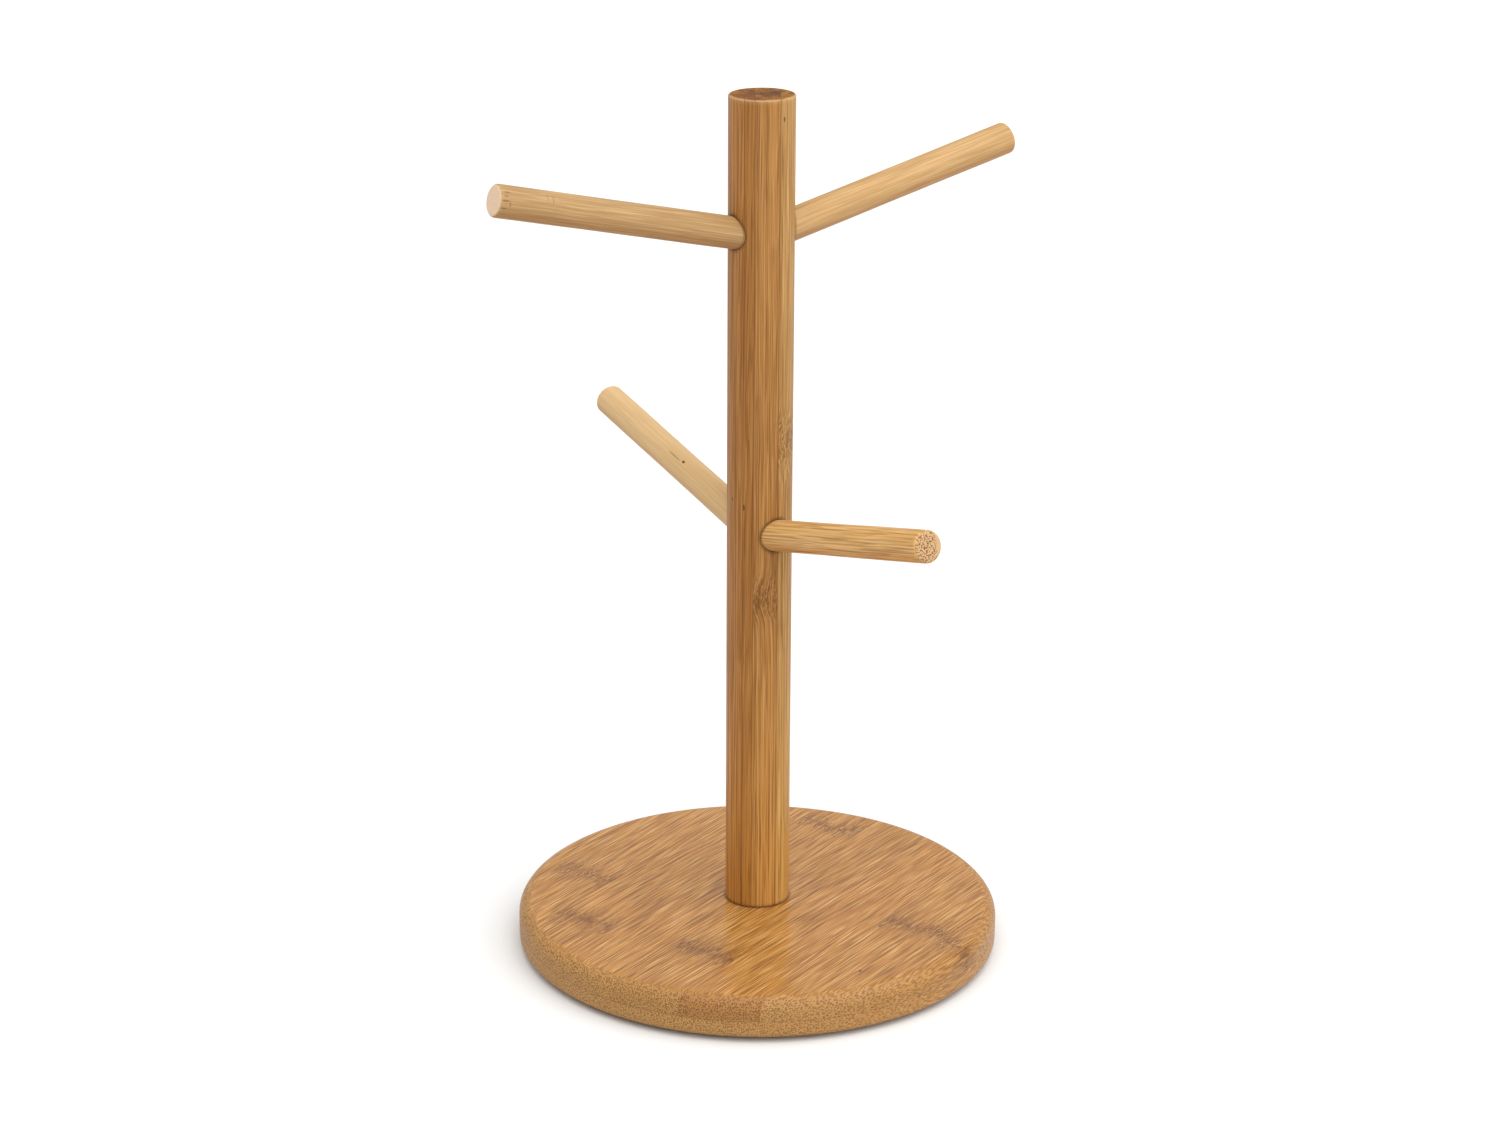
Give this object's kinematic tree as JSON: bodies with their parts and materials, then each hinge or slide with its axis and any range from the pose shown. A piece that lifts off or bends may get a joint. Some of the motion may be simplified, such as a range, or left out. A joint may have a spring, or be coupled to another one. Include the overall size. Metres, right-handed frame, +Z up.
{
  "type": "mug tree",
  "caption": "Bamboo mug tree: a round post on a round board, with slanted pegs that cups hang on by their handles.",
  "frame": {"origin": "on the table under the four pads, on the axis of the post, at the middle of the round base", "axes": "+Z up along the post; +X to the right and +Y away from the viewer when the stand is seen as in use, with one upper peg to the left and one to the right"},
  "size_m": [0.1563, 0.1517, 0.269],
  "materials": {
    "base_bamboo": "satin lacquered bamboo board",
    "post_bamboo": "satin caramelised bamboo rod",
    "peg_bamboo": "sanded pale bamboo dowel",
    "screw_steel": "zinc-plated steel",
    "pad_rubber": "matt black rubber foam"
  },
  "bodies": {
    "root": {"base_upper_layer": "base_bamboo", "base_lower_layer": "base_bamboo", "post": "post_bamboo", "peg_upper_left": "peg_bamboo", "peg_upper_right": "peg_bamboo", "peg_lower_back": "peg_bamboo", "peg_lower_front": "peg_bamboo", "post_screw": "screw_steel", "pad_back_right": "pad_rubber", "pad_back_left": "pad_rubber", "pad_front_left": "pad_rubber", "pad_front_right": "pad_rubber"}
  },
  "joints": []
}
